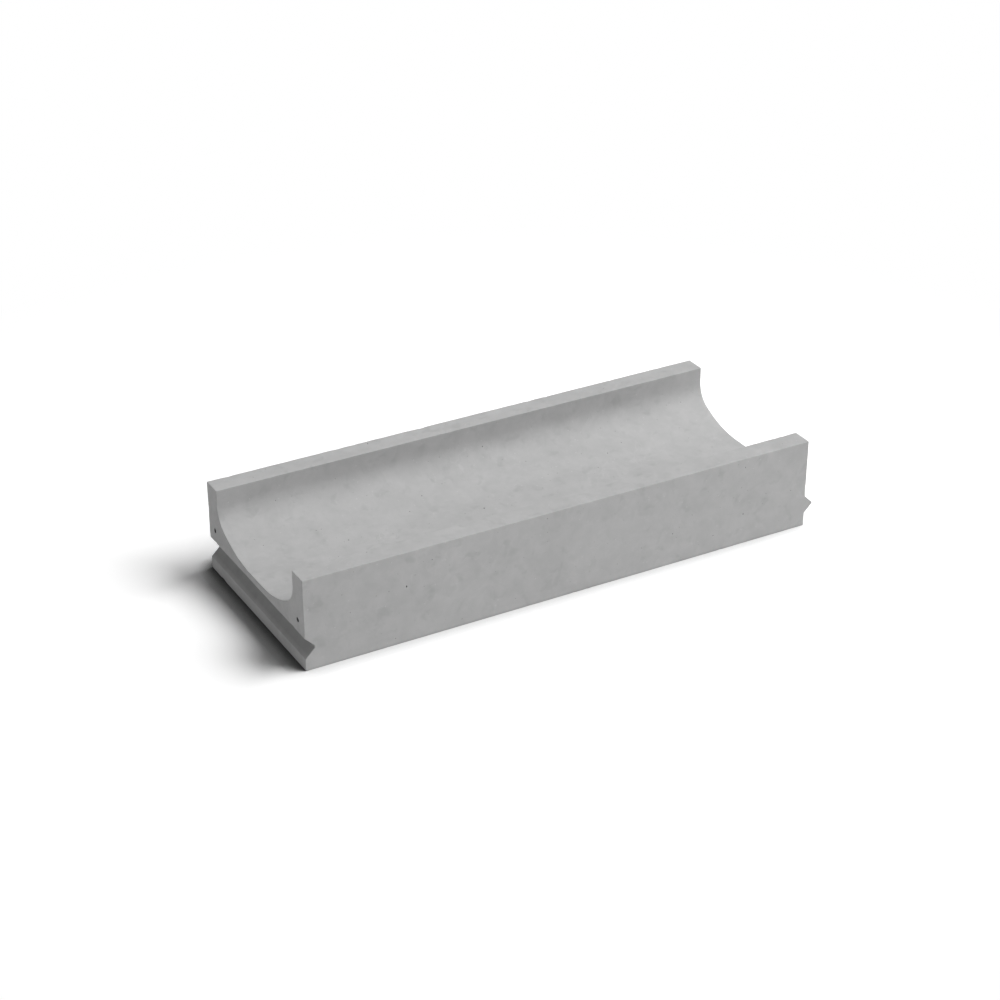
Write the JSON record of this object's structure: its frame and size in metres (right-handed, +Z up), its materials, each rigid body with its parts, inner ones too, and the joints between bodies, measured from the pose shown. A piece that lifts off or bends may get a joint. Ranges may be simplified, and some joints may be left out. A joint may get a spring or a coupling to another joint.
{
  "type": "concrete drainage channel",
  "caption": "Precast concrete drainage channel with a wide round-cornered trough, a V tongue across one end face and a matching groove across the other, laid end to end.",
  "frame": {"origin": "middle of the flat base, half way along the laying length and half way across the width", "axes": "+X along the run from the grooved end to the tongued end, +Y across the channel, +Z up out of the open trough"},
  "size_m": [1.0165, 0.388, 0.172],
  "materials": {
    "concrete": "smooth cast concrete, plain grey, faintly clouded, with small pores"
  },
  "bodies": {
    "root": {"channel": "concrete"}
  },
  "joints": []
}
